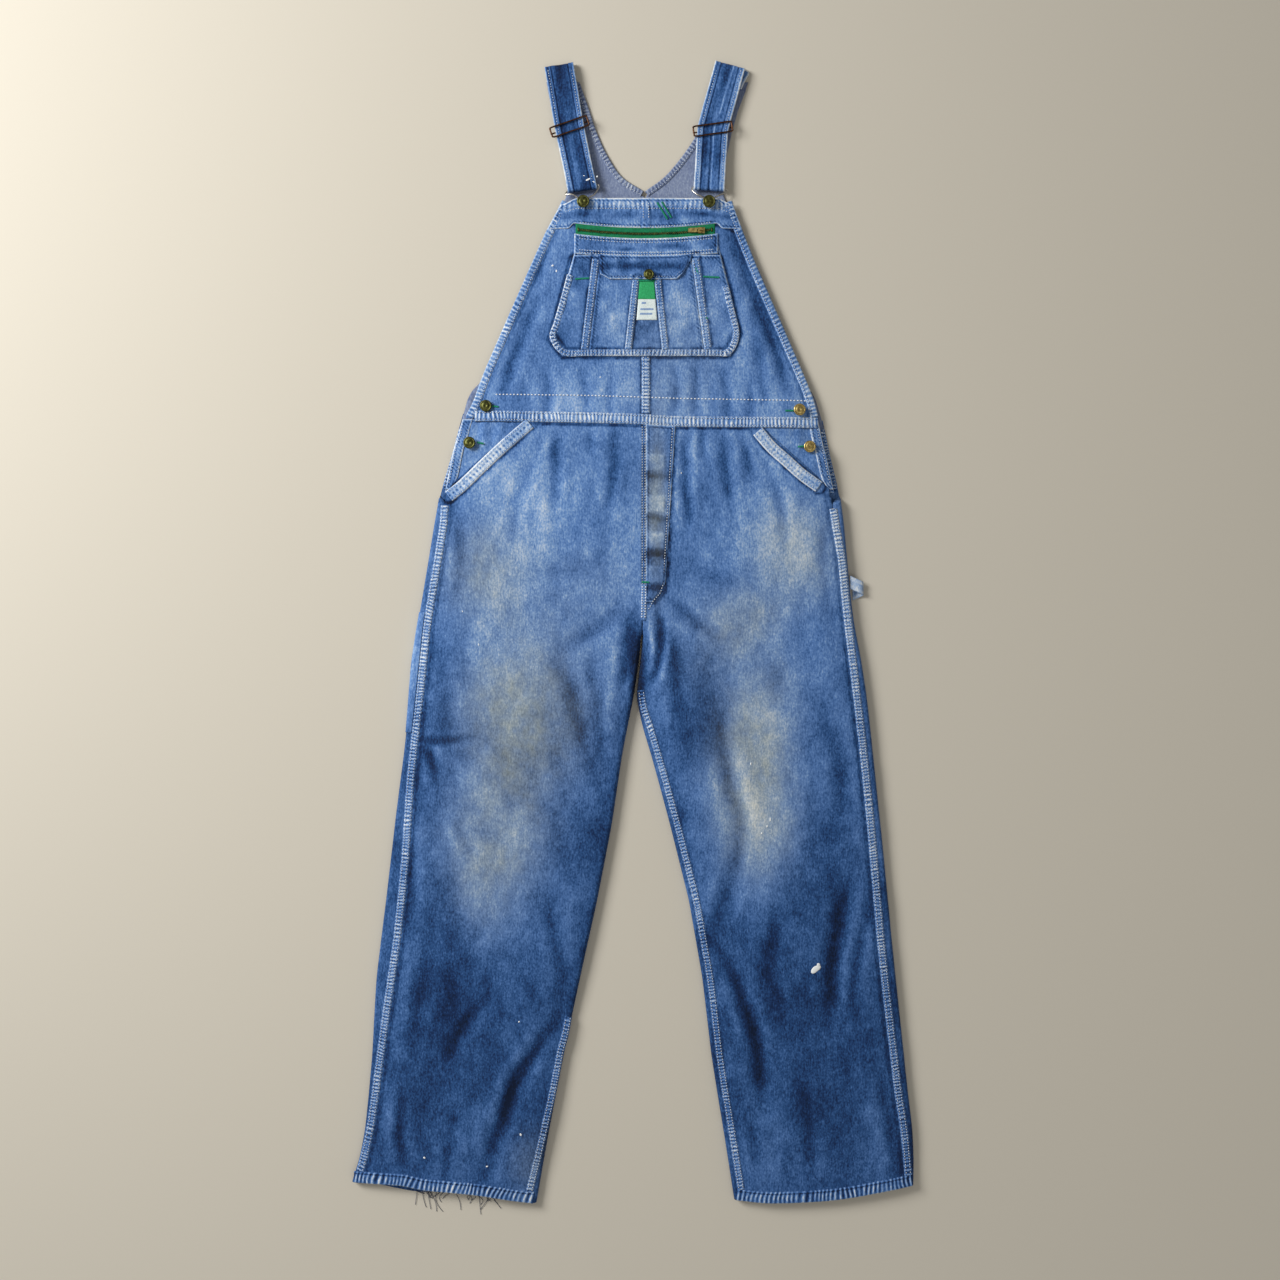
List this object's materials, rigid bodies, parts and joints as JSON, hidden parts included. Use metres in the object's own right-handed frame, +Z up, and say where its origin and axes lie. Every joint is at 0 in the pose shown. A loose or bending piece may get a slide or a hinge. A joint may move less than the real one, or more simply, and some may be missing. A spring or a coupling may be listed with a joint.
{
  "type": "paint spattered denim bib dungarees",
  "caption": "Worn denim bib dungarees laid flat, with straps, zipped bib pocket, slanted hip pockets and straight legs.",
  "frame": {"origin": "on the surface that the dungarees lie on, under the middle of their outline", "axes": "+X towards the wearer's left, +Y from the hems up to the strap folds, +Z up from the surface, out of the garment's front"},
  "size_m": [0.7306, 1.485, 0.0198],
  "materials": {
    "denim": "washed indigo twill, faded and stained",
    "denim_inside": "undyed weft side of the twill, grey blue",
    "zip_tape": "green woven cotton tape",
    "label": "woven, green over white, no lettering",
    "brass": "aged, olive brown",
    "bronze_wire": "dark bronzed wire",
    "bright_wire": "bright plated wire"
  },
  "bodies": {
    "garment": {"back_leg_r": "denim", "back_leg_l": "denim", "front_leg_r": "denim", "front_leg_l": "denim", "bib_r": "denim", "bib_l": "denim", "bib_band": "denim", "bib_pocket": "denim", "compartment_outer_r": "denim", "compartment_inner_r": "denim", "compartment_inner_l": "denim", "compartment_outer_l": "denim", "pocket_band": "denim", "pocket_flap": "denim", "fly": "denim", "pocket_facing_r": "denim", "pocket_facing_l": "denim", "side_placket_r": "denim", "side_placket_l": "denim", "pocket_welt_r": "denim", "pocket_welt_l": "denim", "strap_r": "denim", "strap_l": "denim", "hammer_loop": "denim", "tool_pocket": "denim", "back_bib_r": "denim_inside", "back_bib_l": "denim_inside", "zip_tape": "zip_tape", "label": "label", "bib_button_r": "brass", "bib_button_l": "brass", "side_button_upper_r": "brass", "side_button_lower_r": "brass", "side_button_upper_l": "brass", "side_button_lower_l": "brass", "flap_button": "brass", "zip_slider": "brass", "strap_slider_r": "bronze_wire", "strap_slider_l": "bronze_wire", "bib_loop_r": "bright_wire", "bib_loop_l": "bright_wire"},
    "pull": {"zip_pull": "brass"}
  },
  "joints": [
    {"name": "zip_pull_hinge", "type": "hinge", "parent": "garment", "child": "pull", "pos_m": [0.08857, 0.51935, 0.0145], "axis": [0, 1, 0], "range_deg": [0, 150]}
  ]
}
